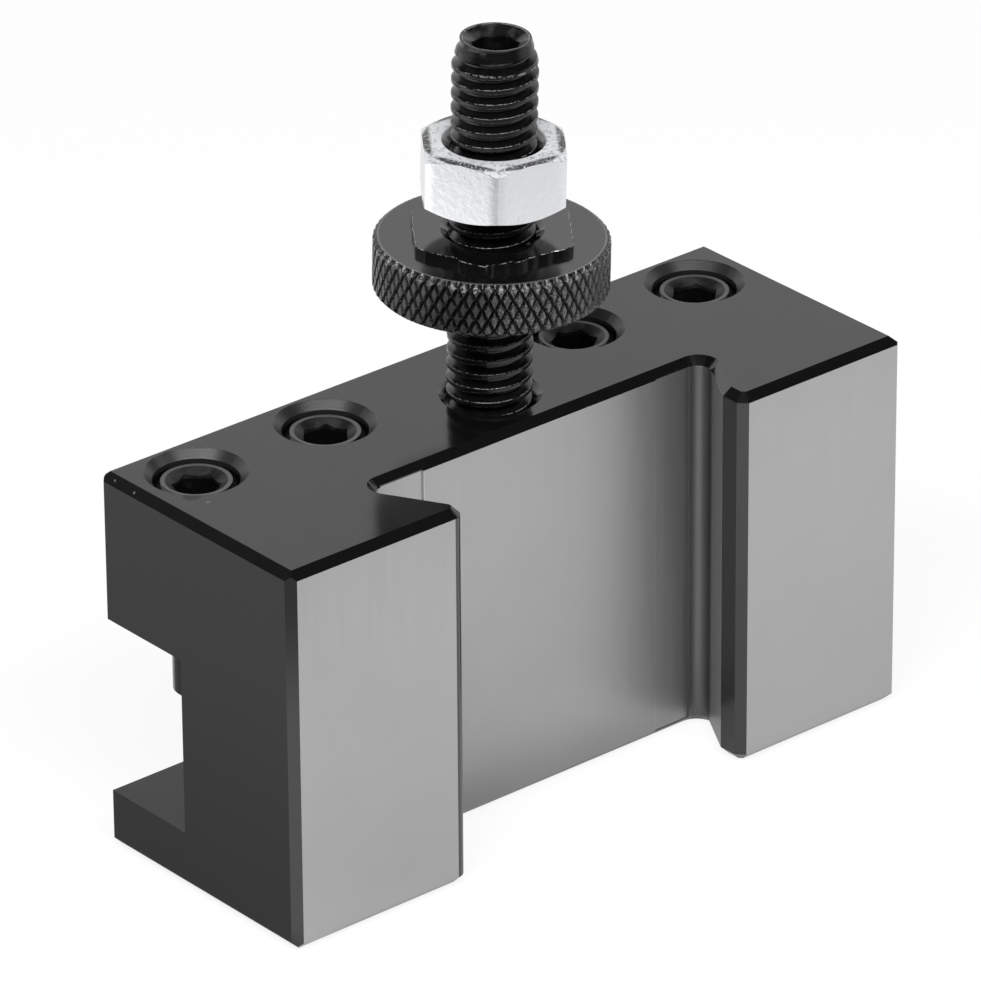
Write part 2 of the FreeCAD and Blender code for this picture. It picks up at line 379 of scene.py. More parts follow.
def clamping_screw(node, number, material):
    """A set screw with its thread, its dog point below and its socket above."""
    low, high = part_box(node)
    length = (high.z - low.z) / MM

    def limit(z):
        return min(POINT_RADIUS + (z - POINT_LENGTH), SCREW_END_RADIUS + SCREW_END_SLOPE * (length - z))
    work = bmesh.new()
    thread(work, POINT_LENGTH, length, SCREW_COLUMNS, number)
    hold_within(work, limit)
    ring = next_ring(work, edge_ring(work, POINT_LENGTH), POINT_RADIUS, POINT_CHAMFER)
    ring = next_ring(work, ring, POINT_RADIUS - POINT_CHAMFER, 0.0)
    next_ring(work, ring, 0.0, 0.0)
    sink_socket(work, edge_ring(work, length), length, SCREW_MOUTH_RADIUS, SOCKET_TURNS[node])
    place = Matrix.Translation(foot_of(node)) @ Matrix.Scale(MM, 4)
    finished(work, node + "_threaded", node, place, material)


def height_stud(material):
    """The long set screw that stands in the block, threaded from its flat foot to its socket."""
    work = bmesh.new()
    thread(work, 0.0, STUD_LENGTH, STUD_COLUMNS, 0, STUD_START)
    hold_within(work, lambda z: STUD_END_RADIUS + STUD_END_SLOPE * (STUD_LENGTH - z))
    next_ring(work, edge_ring(work, 0.0), 0.0, 0.0)
    sink_socket(work, edge_ring(work, STUD_LENGTH), STUD_LENGTH, STUD_MOUTH_RADIUS, STUD_SOCKET_TURN)
    finished(work, "height_stud_threaded", "height_stud", on_stud(0.0), material)


def knurl_band(work):
    """Diamonds laid out flat, wrapped round the rim and cut level at both edges."""
    step = 2 * math.pi / KNURL_COUNT
    half_width = WHEEL_RADIUS * step / 2
    half_height = half_width / math.tan(math.radians(KNURL_ANGLE))
    slope_width = half_width * math.cos(math.radians(KNURL_ANGLE)) - KNURL_FLAT
    middle = WHEEL_THICKNESS / 2
    rows = math.ceil(middle / half_height) + 1
    for row in range(-rows, rows + 1):
        laid = Matrix((
            (0, 0, 1, WHEEL_RADIUS - KNURL_DEPTH),
            (half_width, 0, 0, (row % 2) * half_width),
            (0, half_height, 0, middle + row * half_height),
            (0, 0, 0, 1)))
        diamond = bmesh.ops.create_circle(work, cap_ends=True, segments=4, radius=1.0, matrix=laid)
        face = diamond["verts"][0].link_faces[0]
        bmesh.ops.inset_individual(work, faces=[face], thickness=slope_width)
        for corner in face.verts:
            corner.co.x = WHEEL_RADIUS
    for corner in work.verts:
        corner.co = on_axis(corner.co.y / WHEEL_RADIUS, corner.co.x, corner.co.z)
    bmesh.ops.spin(
        work, geom=work.verts[:] + work.edges[:] + work.faces[:], cent=(0, 0, 0), axis=(0, 0, 1),
        angle=2 * math.pi - step, steps=KNURL_COUNT - 1, use_duplicate=True)
    merge(work)
    cut_level(work, 0.0, "above")
    cut_level(work, WHEEL_THICKNESS, "below")
    for height in (WHEEL_CHAMFER, WHEEL_THICKNESS - WHEEL_CHAMFER):
        cut_level(work, height, "both")
    chamfered = WHEEL_RADIUS - WHEEL_CHAMFER
    hold_within(work, lambda z: chamfered + min(z, WHEEL_THICKNESS - z, WHEEL_CHAMFER))


def height_wheel(material):
    """The wheel with its knurl, its uneven hexagonal hub and its bore."""
    top = WHEEL_THICKNESS
    hub_top = top + HUB_HEIGHT
    sharp = hexagon(HUB_ACROSS_FLATS, HUB_TURN, HUB_CORNER_RADIUS)

    def hub(angle):
        radius = sharp(angle)
        for azimuth, half_width, push in HUB_BURRS:
            off = abs((math.degrees(angle) - azimuth + 180) % 360 - 180)
            radius += push * min(1.0, max(0.0, (half_width - off) / BURR_SHOULDER))
        return radius + HUB_WAVE * noise.noise(on_axis(angle, HUB_WAVE_SCALE, 0))

    def hub_rim(angle):
        return hub(angle) - HUB_EDGE_BREAK
    work = bmesh.new()
    knurl_band(work)
    ring = next_ring(work, edge_ring(work, top), WHEEL_RADIUS - WHEEL_CHAMFER - WHEEL_EDGE_BREAK, top)
    ring = next_ring(work, ring, hub, top)
    ring = next_ring(work, ring, hub, hub_top - HUB_EDGE_BREAK)
    ring = next_ring(work, ring, hub_rim, hub_top)
    ring = next_ring(work, ring, HOLE_MOUTH_RADIUS, hub_top)
    ring = next_ring(work, ring, HOLE_RADIUS, hub_top - HOLE_MOUTH_DEPTH)
    next_ring(work, ring, HOLE_RADIUS, top / 2)

    ring = next_ring(work, edge_ring(work, 0.0), HOLE_MOUTH_RADIUS, 0.0)
    ring = next_ring(work, ring, HOLE_RADIUS, HOLE_MOUTH_DEPTH)
    next_ring(work, ring, HOLE_RADIUS, top / 2)
    place = on_stud(WHEEL_RISE)
    finished(work, "height_wheel_knurled", "height_wheel", place, material)


def lock_nut(material):
    """A hexagon nut, chamfered above and below, with its countersunk bore."""
    side = rounded_hexagon(NUT_ACROSS_FLATS, NUT_CORNER_ROUND, NUT_TURN)
    face = NUT_FACE_RADIUS
    slope = math.tan(math.radians(NUT_CHAMFER_ANGLE))

    def foot_edge(angle):
        return (side(angle) - face) * slope

    def top_edge(angle):
        return NUT_THICKNESS - foot_edge(angle)
    work = bmesh.new()
    ring = first_ring(work, NUT_COLUMNS, NUT_TURN, HOLE_MOUTH_RADIUS, 0.0)
    ring = next_ring(work, ring, face, 0.0)
    ring = next_ring(work, ring, side, foot_edge)
    ring = next_ring(work, ring, side, top_edge)
    ring = next_ring(work, ring, face, NUT_THICKNESS)
    ring = next_ring(work, ring, HOLE_MOUTH_RADIUS, NUT_THICKNESS)
    ring = next_ring(work, ring, HOLE_RADIUS, NUT_THICKNESS - HOLE_MOUTH_DEPTH)
    ring = next_ring(work, ring, HOLE_RADIUS, HOLE_MOUTH_DEPTH)
    next_ring(work, ring, HOLE_MOUTH_RADIUS, 0.0)
    finished(work, "lock_nut_zinc", "lock_nut", on_stud(NUT_RISE), material)


# Shader sums

class Value:
    """A socket that holds a number. Sums on it add Math nodes to its finish."""

    def __init__(self, finish, socket):
        self.finish = finish
        self.socket = socket

    def sum(self, operation, *terms):
        made = self.finish.node("ShaderNodeMath", {"operation": operation}, dict(enumerate(terms)))
        return Value(self.finish, made.outputs[0])

    def __add__(self, other):
        return self.sum("ADD", self, other)

    def __radd__(self, other):
        return self.sum("ADD", other, self)

    def __sub__(self, other):
        return self.sum("SUBTRACT", self, other)

    def __rsub__(self, other):
        return self.sum("SUBTRACT", other, self)

    def __mul__(self, other):
        return self.sum("MULTIPLY", self, other)

    def __rmul__(self, other):
        return self.sum("MULTIPLY", other, self)

    def __abs__(self):
        return self.sum("ABSOLUTE", self)

    def sine(self):
        return self.sum("SINE", self)

    def most(self, other):
        return self.sum("MAXIMUM", self, other)

    def least(self, other):
        return self.sum("MINIMUM", self, other)

    def rise(self, start, end):
        """0 below start and 1 above end, with a smooth step between."""
        inputs = {0: self, 1: start, 2: end}
        made = self.finish.node("ShaderNodeMapRange", {"interpolation_type": "SMOOTHSTEP"}, inputs)
        return Value(self.finish, made.outputs[0])

    def fall(self, start, end):
        """1 below start and 0 above end."""
        return 1 - self.rise(start, end)

    def within(self, low, high, soft):
        """1 between low and high, and 0 a soft edge away from them."""
        return self.rise(low - soft, low) * self.fall(high, high + soft)


class Finish:
    """The nodes of a material or of the world, with the place on a piece in millimetres.

    Where a matrix is given, the place is taken in the piece's own upright form."""

    def __init__(self, owner, source="Object", scale=1 / MM, matrix=None):
        owner.use_nodes = True
        self.owner = owner
        self.tree = owner.node_tree
        self.tree.nodes.clear()
        place = self.node("ShaderNodeTexCoord").outputs[source]
        if matrix is not None:
            upright = {"Location": matrix.to_translation(), "Rotation": matrix.to_euler()}
            upright["Vector"] = place
            place = self.node("ShaderNodeMapping", {"vector_type": "TEXTURE"}, upright).outputs[0]
        scaled = self.node("ShaderNodeVectorMath", {"operation": "SCALE"}, {0: place, "Scale": scale})
        self.place = scaled.outputs[0]
        parts = self.node("ShaderNodeSeparateXYZ", {}, {0: self.place})
        self.x, self.y, self.z = (Value(self, socket) for socket in parts.outputs)

    def node(self, kind, settings=None, inputs=None):
        made = self.tree.nodes.new(kind)
        for key, setting in (settings or {}).items():
            setattr(made, key, setting)
        for key, value in (inputs or {}).items():
            if isinstance(value, Value):
                value = value.socket
            if isinstance(value, bpy.types.NodeSocket):
                self.tree.links.new(value, made.inputs[key])
            else:
                made.inputs[key].default_value = value
        return made

    def grain(self, scale, detail=3.0, rough=0.55, stretch=(1, 1, 1)):
        """Soft noise from 0 to 1, scale to the millimetre, drawn out along an axis by a small stretch."""
        drawn = self.node("ShaderNodeVectorMath", {"operation": "MULTIPLY"}, {0: self.place, 1: stretch})
        inputs = {"Vector": drawn.outputs[0], "Scale": scale, "Detail": detail, "Roughness": rough}
        return Value(self, self.node("ShaderNodeTexNoise", {}, inputs).outputs[0])

    def distance(self, across, along):
        """How far a place is from an axis, from its two offsets."""
        offset = self.node("ShaderNodeCombineXYZ", {}, {0: across, 1: along}).outputs[0]
        length = self.node("ShaderNodeVectorMath", {"operation": "LENGTH"}, {0: offset})
        return Value(self, length.outputs["Value"])

    def spot(self, centre, reach):
        """1 in a small patch round a point."""
        gap = self.node("ShaderNodeVectorMath", {"operation": "DISTANCE"}, {0: self.place, 1: centre})
        return Value(self, gap.outputs["Value"]).fall(reach / 2, reach)

    def mixed(self, share, first, second):
        """A colour between two, each a colour or a socket."""
        inputs = {0: share, 6: first, 7: second}
        return self.node("ShaderNodeMix", {"data_type": "RGBA"}, inputs).outputs[2]

    def shades(self, share, greys):
        """A grey between two levels."""
        dark, light = greys
        return self.mixed(share, grey(dark), grey(light))

    def bump(self, height, depth):
        """Relief from a height of 0 to 1, as deep as depth in millimetres."""
        inputs = {"Height": height, "Distance": depth * MM, "Strength": 1.0}
        return self.node("ShaderNodeBump", {}, inputs).outputs[0]

    def surface(self, sockets):
        return self.node("ShaderNodeBsdfPrincipled", {}, sockets).outputs[0]

    def blend(self, share, first, second):
        return self.node("ShaderNodeMixShader", {}, {0: share, 1: first, 2: second}).outputs[0]

    def ray(self, name):
        return Value(self, self.node("ShaderNodeLightPath").outputs[name])

    def show(self, shader, kind="ShaderNodeOutputMaterial"):
        self.node(kind, {}, {"Surface": shader})
        return self.owner


def grey(level, red=1.0, green=1.0, blue=1.0):
    """A colour by its level, tinted where a share of red, green or blue is given."""
    return (level * red, level * green, level * blue, 1.0)


def new_finish(name, matrix=None):
    """A new material to build up, on a piece's own upright form where a matrix is given."""
    return Finish(bpy.data.materials.new(name), matrix=matrix)


# Finishes. A pair of greys is a dark and a light level. Other pairs are the start and the
# end of a mask's step, in millimetres, or in levels of noise where they are called breaks.

# The block's ground faces, and how far past its own corners the dovetail is ground
LAND_GRINDING = (0.002, 0.006)
LIP_MARGIN = 0.06
FLOOR_MARGIN = 0.05
FLANK_MARGINS = (0.1, 0.2)
GRINDING_SOFT = 0.03
GROUND_GREYS = (0.0, 0.455)
GROUND_EVEN = 0.90
CLOUD_SHARE = 0.13
STREAK_SHARE = 0.07
STEEL_RELIEF = 0.0012

# Painted highlights along the pad's two steps, seen as light lines
RIGHT_STEP_HIGHLIGHT_WIDTHS = (0.02, 0.09)
RIGHT_STEP_HIGHLIGHT_SHARE = 0.35
RIGHT_STEP_HIGHLIGHT_GREY = 0.75
LEFT_STEP_HIGHLIGHT_WIDTHS = (0.02, 0.05)
LEFT_STEP_HIGHLIGHT_GREY = 1.0

# Painted shade on the ground steel: darker on the flanks, in the right corner, and low down towards the
# left
FLANK_DEPTHS = (8.2, 9.0)
FLANK_SHADE = 0.12
CORNER_DEPTHS = (6.5, 7.6)
CORNER_REACH = (17.6, 19.0)
CORNER_SHADE = 0.57
LOW_SHADE_HEIGHTS = (2.0, 28.0)
LOW_SHADE_REACH = (-18.0, 6.0)
LOW_SHADE_STRENGTH = 0.15

# The block's black oxide, and the turned mouths of its holes, by depth below the top
OXIDE_GREYS = (0.004, 0.02)
OXIDE_BREAKS = (0.74, 0.80)
OXIDE_SPECK_SHARE = 0.5
BLACK_RELIEF = 0.006
CONE_GREYS = (0.016, 0.09)
CONE_DEPTHS = (1.2, 0.03)
CONE_SOFT = 0.02
TURNING_LINES = 38.0
TURNING_WANDER = 3.0

# Small marks that the photograph shows on the block
CHAMFER_NICKS = ((-36.05, 11.9, 37.75), (-36.1, 9.0, 37.65))
NICK_REACH = 0.2
TOP_SPECK = (-32.8, 2.5, 38.1)
SPECK_REACH = 0.3
MARK_GREY = 0.12
MARK_BREAKS = (0.4, 0.6)
TOP_SMUDGE = (-33.2, 4.4, 38.1)
SMUDGE_REACH = 1.1
SMUDGE_SHARE = 0.6
SMUDGE_GREY = 0.002

# Sockets' mouths on the screws and the stud, by depth below the top
MOUTH_DEPTHS = (0.9, 0.85)
MOUTH_SOFT = 0.04

# The clamping screws
SCREW_GREYS = (0.004, 0.01)
SCREW_BREAKS = (0.55, 0.75)
SCREW_MOUTH_GREYS = (0.003, 0.022)
SCREW_MOUTH_BREAKS = (0.35, 0.7)
SCREW_RIM_GREY = 0.08
SCREW_RIM_SOFT = 0.03

# The stud, its worn line round the mouth, and its lighter lines along the crest roundings, partly wear
# and partly painted highlight
STUD_GREYS = (0.003, 0.008)
STUD_BREAKS = (0.5, 0.75)
STUD_MOUTH_GREYS = (0.008, 0.04)
STUD_MOUTH_BREAKS = (0.4, 0.7)
STUD_WEAR_AND_HIGHLIGHT_GREY = 0.16
CREST_LINE = (0.075, 0.03)
CREST_LINE_SOFT = 0.01
CREST_LINE_BREAKS = (0.42, 0.6)
MOUTH_LINE = (0.03, 0.06)
MOUTH_LINE_SOFT = 0.03
MOUTH_LINE_BREAKS = (0.35, 0.55)


def screw_ring(finish):
    """How far a place is from the axis of the clamping screw nearest to it."""
    inner, outer = foot_of("set_screw_3") / MM, foot_of("set_screw_4") / MM
    across = abs(finish.x)
    off_screw = abs(across - inner.x).least(abs(across - outer.x))
    return finish.distance(off_screw, finish.y - inner.y)


def near_top(finish, top):
    """1 above the level where the mouth of a screw's socket begins."""
    start, end = MOUTH_DEPTHS
    return finish.z.rise(top - start, top - end)


def block_finish():
    """Black oxide all over, ground bright on the lands, the pad and the dovetail, with painted shade in
    the dovetail and painted highlight lines along the pad's steps.
    """
    low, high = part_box("holder_block")
    front = low.y / MM
    top = high.z / MM
    finish = new_finish("blackened_block")
    x, z = finish.x, finish.z
    depth = finish.y - front

    lands = depth.fall(*LAND_GRINDING)
    between_rims = z.within(EDGE_CHAMFER, top - EDGE_CHAMFER, GRINDING_SOFT)
    deepest = DOVETAIL_DEPTH + PAD_STEP + FLOOR_MARGIN
    behind_lip = depth.within(LIP_WALL_DEPTH + LIP_MARGIN, deepest, GRINDING_SOFT)
    start, end = (DOVETAIL_FLOOR_HALF + margin for margin in FLANK_MARGINS)
    dovetail = behind_lip * between_rims * abs(x).fall(start, end)

    clouds = finish.grain(0.12, detail=4.0)
    streaks = finish.grain(1.6, rough=0.6, stretch=(1.0, 1.0, 0.05))
    # Painted shade: the ground steel darker on the flanks, in the right corner and low down towards the
    # left
    flank = behind_lip * depth.fall(*FLANK_DEPTHS)
    corner = depth.rise(*CORNER_DEPTHS) * x.rise(*CORNER_REACH)
    low_shade = behind_lip * z.fall(*LOW_SHADE_HEIGHTS) * x.fall(*LOW_SHADE_REACH)
    shade = (1 - FLANK_SHADE * flank) * (1 - CORNER_SHADE * corner) * (1 - LOW_SHADE_STRENGTH * low_shade)
    level = (GROUND_EVEN + CLOUD_SHARE * clouds + STREAK_SHARE * streaks) * shade
    # Painted highlight lines along the pad's right and left steps
    right_step_highlight = behind_lip * abs(x - PAD_RIGHT_REACH).fall(*RIGHT_STEP_HIGHLIGHT_WIDTHS) * RIGHT_STEP_HIGHLIGHT_SHARE
    left_step_highlight = behind_lip * abs(x + PAD_LEFT_REACH).fall(*LEFT_STEP_HIGHLIGHT_WIDTHS)
    ground = finish.mixed(right_step_highlight, finish.shades(level, GROUND_GREYS), grey(RIGHT_STEP_HIGHLIGHT_GREY))
    steel = finish.surface({
        "Base Color": finish.mixed(left_step_highlight, ground, grey(LEFT_STEP_HIGHLIGHT_GREY)),
        "Metallic": 1.0,
        "Roughness": 0.34 + 0.10 * streaks,
        "Anisotropic": 0.7,
        "Normal": finish.bump(streaks, STEEL_RELIEF),
    })

    ring = screw_ring(finish)
    low_edge, high_edge = (top - below for below in CONE_DEPTHS)
    cone = ring.fall(HOLE_MOUTH_RADIUS - CONE_SOFT, HOLE_MOUTH_RADIUS)
    cone = cone * z.within(low_edge, high_edge, CONE_SOFT)
    turning = (ring * TURNING_LINES + finish.grain(0.7) * TURNING_WANDER).sine()
    specks = finish.grain(2.2, detail=2.0).rise(*OXIDE_BREAKS)
    mottle = finish.grain(0.35, detail=4.0, rough=0.6)
    fine = finish.grain(3.0)
    nicks = finish.spot(TOP_SPECK, SPECK_REACH)
    for place in CHAMFER_NICKS:
        nicks = nicks.most(finish.spot(place, NICK_REACH))
    smudge = finish.spot(TOP_SMUDGE, SMUDGE_REACH)
    colour = finish.shades(specks * OXIDE_SPECK_SHARE, OXIDE_GREYS)
    colour = finish.mixed(cone, colour, finish.shades(specks, CONE_GREYS))
    colour = finish.mixed(nicks * fine.rise(*MARK_BREAKS), colour, grey(MARK_GREY))
    oxide = finish.surface({
        "Base Color": finish.mixed(smudge * SMUDGE_SHARE, colour, grey(SMUDGE_GREY)),
        "IOR": 1.7,
        "Roughness": 0.12 + 0.05 * mottle + 0.2 * cone + 0.2 * smudge,
        "Normal": finish.bump(fine * 0.12 + cone * turning * 0.2, BLACK_RELIEF),
    })
    return finish.show(finish.blend(lands.most(dovetail), oxide, steel))


def screw_finish():
    """Glossy oiled black, greyer in the countersunk mouths and round the top ring."""
    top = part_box("set_screw_3")[1].z / MM
    finish = new_finish("blackened_screw")
    ring = screw_ring(finish)
    upper = near_top(finish, top)
    mouth = upper * ring.within(SOCKET_ACROSS_FLATS / 2, SCREW_MOUTH_RADIUS, MOUTH_SOFT)
    rim = upper * ring.within(SCREW_MOUTH_RADIUS, SCREW_END_RADIUS, SCREW_RIM_SOFT)
    cloud = finish.grain(0.8)
    in_mouth = finish.shades(cloud.rise(*SCREW_MOUTH_BREAKS), SCREW_MOUTH_GREYS)
    colour = finish.shades(cloud.rise(*SCREW_BREAKS), SCREW_GREYS)
    colour = finish.mixed(mouth, colour, in_mouth)
    return finish.show(finish.surface({
        "Base Color": finish.mixed(rim, colour, grey(SCREW_RIM_GREY)),
        "IOR": 1.6,
        "Roughness": 0.15 + 0.1 * cloud + 0.2 * mouth + 0.1 * rim,
        "Normal": finish.bump(finish.grain(4.0), BLACK_RELIEF),
    }))


def stud_finish():
    """The same black on the leaning stud, lighter along the crest roundings, partly as wear and partly as
    painted highlight lines.
    """
    finish = new_finish("blackened_stud", on_stud(0.0))
    ring = finish.distance(finish.x, finish.y)
    upper = near_top(finish, STUD_LENGTH)
    mouth = upper * ring.within(SOCKET_ACROSS_FLATS / 2, STUD_MOUTH_RADIUS, MOUTH_SOFT)
    inside, outside = MOUTH_LINE
    mouth_line = ring.within(STUD_MOUTH_RADIUS - inside, STUD_MOUTH_RADIUS + outside, MOUTH_LINE_SOFT)
    start, end = (CREST_RADIUS - below for below in CREST_LINE)
    cloud = finish.grain(0.9)
    fine = finish.grain(3.2, detail=2.0)
    # Crest roundings lighter: partly wear, partly painted highlight lines
    crest_wear_and_highlight = ring.within(start, end, CREST_LINE_SOFT) * fine.rise(*CREST_LINE_BREAKS)
    mouth_line = upper * mouth_line * fine.rise(*MOUTH_LINE_BREAKS)
    in_mouth = finish.shades(cloud.rise(*STUD_MOUTH_BREAKS), STUD_MOUTH_GREYS)
    colour = finish.shades(cloud.rise(*STUD_BREAKS), STUD_GREYS)
    colour = finish.mixed(crest_wear_and_highlight, colour, grey(STUD_WEAR_AND_HIGHLIGHT_GREY))
    colour = finish.mixed(mouth, colour, in_mouth)
    return finish.show(finish.surface({
        "Base Color": finish.mixed(mouth_line, colour, grey(STUD_WEAR_AND_HIGHLIGHT_GREY)),
        "Roughness": 0.14 + 0.1 * cloud,
        "Normal": finish.bump(fine, BLACK_RELIEF),
    }))


# The wheel's turned faces, knurl and hub, and the painted highlight lines along its edges
WHEEL_FACE_GREYS = (0.004, 0.05)
WHEEL_FACE_BREAKS = (0.62, 0.72)
KNURL_STARTS = (0.46, 0.44)
TIP_FULL = 0.06
# Knurl tips worn lighter in specks, over grooves kept darkest as painted shade
GROOVE_SHADE_AND_TIP_GREYS = (0.002, 0.04)
TIP_BREAKS = (0.48, 0.62)
RIM_HIGHLIGHT_INWARDS = (0.16, 0.04)
RIM_HIGHLIGHT_SOFT = 0.05
RIM_HIGHLIGHT_DEPTHS = (0.1, 0.05)
RIM_HIGHLIGHT_SHARE = 0.7
RIM_HIGHLIGHT_GREY = 0.16
# Painted glints at the upper ends of the knurl's tips
UPPER_GLINT_DEPTHS = (0.75, 0.3)
UPPER_GLINT_SOFT = 0.1
UPPER_GLINT_BREAKS = (0.52, 0.6)
UPPER_GLINT_GREY = 0.24
HUB_STARTS = (0.04, 0.06)
HUB_GREY = 0.004
HUB_HIGHLIGHT_TOP = 0.005
HUB_HIGHLIGHT_SOFT = 0.004
HUB_HIGHLIGHT_BREAKS = (0.45, 0.55)
HUB_HIGHLIGHT_GREY = 0.3

# The side of the knurl where its worn tips carry a painted highlight, by its direction from the stud
SHEEN_SIDE = Vector((-0.35, -0.94, 0.0))
SHEEN_SIDE_REACH = (9.8, 10.6)
WORN_TIP_SHEEN_GREY = 0.14


def wheel_finish():
    """Satin black, with a glossy hub, a broken painted highlight line on its edge and a worn rim; painted
    highlights also run round the top face and on one side of the knurl, with painted glints on its tips
    and painted shade in its grooves.
    """
    finish = new_finish("blackened_wheel", on_stud(WHEEL_RISE))
    z = finish.z
    ring = finish.distance(finish.x, finish.y)
    top = WHEEL_THICKNESS
    cloud = finish.grain(0.9, detail=4.0)
    fine = finish.grain(6.0, rough=0.7)
    start, end = (WHEEL_RADIUS - inwards for inwards in KNURL_STARTS)
    knurl = ring.rise(start, end)
    tip = ring.rise(WHEEL_RADIUS - KNURL_DEPTH, WHEEL_RADIUS - TIP_FULL)
    start, end = (top + above for above in HUB_STARTS)
    hub = z.rise(start, end)

    hub_top = top + HUB_HEIGHT
    # Painted highlight along the hub's top edge, broken by noise
    hub_highlight = z.within(hub_top - HUB_EDGE_BREAK, hub_top - HUB_HIGHLIGHT_TOP, HUB_HIGHLIGHT_SOFT)
    hub_highlight = hub_highlight * finish.grain(2.0, rough=0.7).rise(*HUB_HIGHLIGHT_BREAKS)
    # Painted highlight line round the edge of the top face
    start, end = (WHEEL_RADIUS - WHEEL_CHAMFER - inwards for inwards in RIM_HIGHLIGHT_INWARDS)
    rim_highlight = ring.within(start, end, RIM_HIGHLIGHT_SOFT)
    start, end = (top - below for below in RIM_HIGHLIGHT_DEPTHS)
    rim_highlight = rim_highlight * z.rise(start, end) * RIM_HIGHLIGHT_SHARE
    # Painted glints on the upper ends of the knurl's tips
    start, end = (top - below for below in UPPER_GLINT_DEPTHS)
    upper_glints = z.within(start, end, UPPER_GLINT_SOFT) * tip
    upper_glints = upper_glints * finish.grain(3.4, detail=2.0).rise(*UPPER_GLINT_BREAKS)
    # Painted highlight on the worn tips of one side of the knurl
    sheen_side = (finish.x * SHEEN_SIDE.x + finish.y * SHEEN_SIDE.y).rise(*SHEEN_SIDE_REACH)
    # Worn specks on the knurl's tips; the grooves stay darkest, as painted shade
    tip_wear_groove_shade = fine.rise(*TIP_BREAKS) * tip

    cut = finish.shades(tip_wear_groove_shade, GROOVE_SHADE_AND_TIP_GREYS)
    cut = finish.mixed(tip_wear_groove_shade * sheen_side, cut, grey(WORN_TIP_SHEEN_GREY))
    cut = finish.mixed(upper_glints, cut, grey(UPPER_GLINT_GREY))
    face = finish.shades(fine.rise(*WHEEL_FACE_BREAKS), WHEEL_FACE_GREYS)
    face = finish.mixed(knurl, face, cut)
    face = finish.mixed(rim_highlight, face, grey(RIM_HIGHLIGHT_GREY))
    face = finish.mixed(hub, face, grey(HUB_GREY))
    return finish.show(finish.surface({
        "Base Color": finish.mixed(hub_highlight, face, grey(HUB_HIGHLIGHT_GREY)),
        "IOR": 1.85,
        "Roughness": 0.13 + 0.06 * cloud - 0.06 * hub + 0.12 * knurl,
        "Normal": finish.bump(fine * (0.3 - 0.25 * hub + 4.5 * knurl), BLACK_RELIEF),
    }))


# Zinc plate, its scratches and mottled top, and the dark torn band along the top's edges
ZINC_COLOURS = (grey(0.90, 0.975, 0.99, 1.02), grey(0.98, 0.975, 0.995, 1.02))
SCRATCH_BREAKS = (0.66, 0.72)
SCRATCH_SHARE = 0.35
SCRATCH_GREY = 0.5
NUT_TOP = (0.04, 0.01)
NUT_FOOT = (0.02, 0.06)
MOTTLE_BREAKS = (0.5, 0.62)
MOTTLE_SHARE = 0.8
MOTTLE_COLOUR = grey(0.36, 0.99, 0.99, 1.02)
BORE_INSIDE = 0.12
SHADED_SHARE = 0.85
SHADED_GREY = 0.08
TORN_WIDTHS = (0.9, 0.45)
TORN_REACH = (0.04, 0.28)
TORN_BREAKS = (0.36, 0.46)
TORN_SHARE = 0.95
TORN_GREY = 0.05
ZINC_RELIEF = 0.03


def hexagon_reach(finish, first):
    """How far out a place is towards the nearest side of a hexagon, one side's azimuth given."""
    angles = (first, first + SIDE, first + 2 * SIDE)
    one, two, three = (abs(finish.x * math.cos(a) + finish.y * math.sin(a)) for a in angles)
    return one.most(two).most(three)


def nut_finish():
    """Bright flats with fine scratches, and a dull mottled top, torn dark along its edges."""
    finish = new_finish("zinc_nut", on_stud(NUT_RISE))
    ring = finish.distance(finish.x, finish.y)
    reach = hexagon_reach(finish, math.radians(NUT_TURN) + SIDE / 2)
    flat_edge = NUT_ACROSS_FLATS / 2
    cloud = finish.grain(1.2, detail=5.0, rough=0.65)
    fine = finish.grain(4.0, detail=4.0, rough=0.7)
    mottle = finish.grain(2.4, detail=5.0, rough=0.75).rise(*MOTTLE_BREAKS)
    scratches = finish.grain(2.4, rough=0.6, stretch=(1.0, 1.0, 0.25)).rise(*SCRATCH_BREAKS)

    edge_height = (ring - NUT_FACE_RADIUS).most(0.0) * math.tan(math.radians(NUT_CHAMFER_ANGLE))
    start, end = (NUT_THICKNESS - below for below in NUT_TOP)
    top = (finish.z + edge_height).rise(start, end)
    foot = finish.z.fall(*NUT_FOOT)
    bore = ring.fall(HOLE_MOUTH_RADIUS - BORE_INSIDE, HOLE_MOUTH_RADIUS)
    start, end = (flat_edge - inwards for inwards in TORN_WIDTHS)
    torn = top * reach.rise(start, end)
    start, end = (flat_edge + outwards for outwards in TORN_REACH)
    torn = torn * ring.fall(start, end) * fine.rise(*TORN_BREAKS) * TORN_SHARE

    colour = finish.mixed(cloud, *ZINC_COLOURS)
    colour = finish.mixed(scratches * SCRATCH_SHARE, colour, grey(SCRATCH_GREY))
    colour = finish.mixed(top * mottle * MOTTLE_SHARE, colour, MOTTLE_COLOUR)
    # Painted shade in the bore's countersink and along the nut's foot
    colour = finish.mixed(bore.most(foot) * SHADED_SHARE, colour, grey(SHADED_GREY))
    return finish.show(finish.surface({
        "Base Color": finish.mixed(torn, colour, grey(TORN_GREY)),
        "Metallic": 1 - 0.7 * top,
        "Roughness": 0.16 + 0.1 * cloud + 0.1 * top,
        "Normal": finish.bump(cloud * 0.5 + fine * top, ZINC_RELIEF),
    }))


# The floor, the light and the camera

# The world in reflections: a white backdrop up to one elevation, a dark ceiling above
# another, and a dark room behind the camera. Even light falls on all that is matt.
BACKDROP_TOP = 28.8
BACKDROP_LEVEL = 0.8
CEILING_START = 31.2
CEILING_LEVEL = 0.03
BEHIND_CAMERA = (0.05, 0.5)
BEHIND_CAMERA_LEVEL = 0.1
EVEN_LIGHT = 0.32

